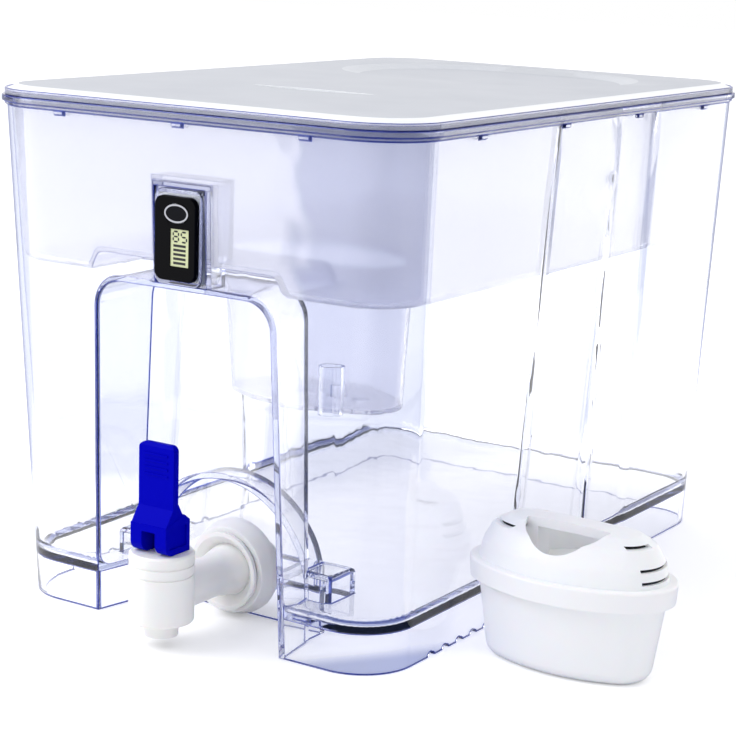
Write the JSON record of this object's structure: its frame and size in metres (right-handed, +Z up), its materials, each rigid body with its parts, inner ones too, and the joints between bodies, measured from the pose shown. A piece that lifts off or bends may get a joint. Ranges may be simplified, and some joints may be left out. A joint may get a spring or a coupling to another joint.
{
  "type": "gravity water filter with tap",
  "caption": "Clear tank with a lever tap in a front niche, lift-out funnel with a cartridge chamber, flat lid, plug-in filter timer and one filter cartridge beside it.",
  "frame": {"origin": "on the table, under the middle of the whole footprint (tank, tap and the cartridge beside it)", "axes": "+Z up, -Y towards the user (the tap side), +X to the user's right, towards the cartridge"},
  "size_m": [0.3387, 0.3912, 0.255],
  "materials": {
    "clear_tank": "clear bluish, polished",
    "milky_funnel": "milky translucent white",
    "clear_tube": "clear",
    "lid_white": "white, satin",
    "cartridge_white": "white, satin",
    "cap_white": "white, satin",
    "screen_black": "fine black mesh",
    "carbon": "black carbon and resin grains",
    "tap_white": "white, moulded",
    "shroud_white": "white, moulded",
    "seal_silicone": "soft silicone",
    "nut_white": "white, moulded",
    "lever_blue": "royal blue, moulded",
    "stem_plastic": "white acetal",
    "pin_steel": "stainless pin",
    "spring_steel": "stainless wire",
    "bezel_black": "gloss black",
    "case_clear": "clear bluish",
    "ring_grey": "printed silver grey",
    "button_black": "soft black",
    "lcd_green": "yellow-green display",
    "board_white": "white circuit board",
    "cell_steel": "nickel-plated coin cell"
  },
  "bodies": {
    "tank": {"tank": "clear_tank", "tap_body": "tap_white", "tap_shroud": "shroud_white", "outer_washer": "seal_silicone", "inner_washer": "seal_silicone", "lock_nut": "nut_white", "stem_spring": "spring_steel"},
    "funnel": {"funnel": "milky_funnel", "cartridge_chamber": "milky_funnel", "vent_tube": "clear_tube"},
    "lid": {"lid": "lid_white"},
    "cartridge": {"cartridge_body": "cartridge_white", "cartridge_cap": "cap_white", "cartridge_screen": "screen_black", "cartridge_media": "carbon"},
    "valve": {"seat_cup": "seal_silicone", "stem": "stem_plastic", "lever_pin": "pin_steel"},
    "lever": {"lever": "lever_blue"},
    "timer": {"timer_bezel": "bezel_black", "timer_case": "case_clear", "timer_button_ring": "ring_grey", "timer_lcd": "lcd_green", "timer_board": "board_white", "timer_cell": "cell_steel"},
    "button": {"timer_button": "button_black"}
  },
  "joints": [
    {"name": "funnel_lift", "type": "slide", "parent": "tank", "child": "funnel", "axis": [0, 0, 1], "range_m": [0, 0.165]},
    {"name": "lid_lift", "type": "slide", "parent": "funnel", "child": "lid", "axis": [0, 0, 1], "range_m": [0, 0.08]},
    {"name": "cartridge_lift", "type": "slide", "parent": "tank", "child": "cartridge", "axis": [0, 0, 1], "range_m": [0, 0.05]},
    {"name": "valve_lift", "type": "slide", "parent": "tank", "child": "valve", "axis": [0, 0, 1], "range_m": [0, 0.0042], "deforming": ["stem_spring"]},
    {"name": "lever_tilt", "type": "hinge", "parent": "valve", "child": "lever", "pos_m": [-0.04705, -0.18015, 0.056], "axis": [1, 0, 0], "range_deg": [0, 60], "stiffness_Nm_per_rad": 0.03, "springref_deg": -20.05},
    {"name": "timer_slide", "type": "slide", "parent": "tank", "child": "timer", "axis": [0, -1, 0], "range_m": [0, 0.02]},
    {"name": "button_press", "type": "slide", "parent": "timer", "child": "button", "axis": [0, 1, 0], "range_m": [0, 0.0008], "stiffness_N_per_m": 2500, "springref_m": -0.0004}
  ],
  "couplings": [
    {"joint": "valve_lift", "follows": "lever_tilt", "m_per_rad": 0.004011}
  ]
}
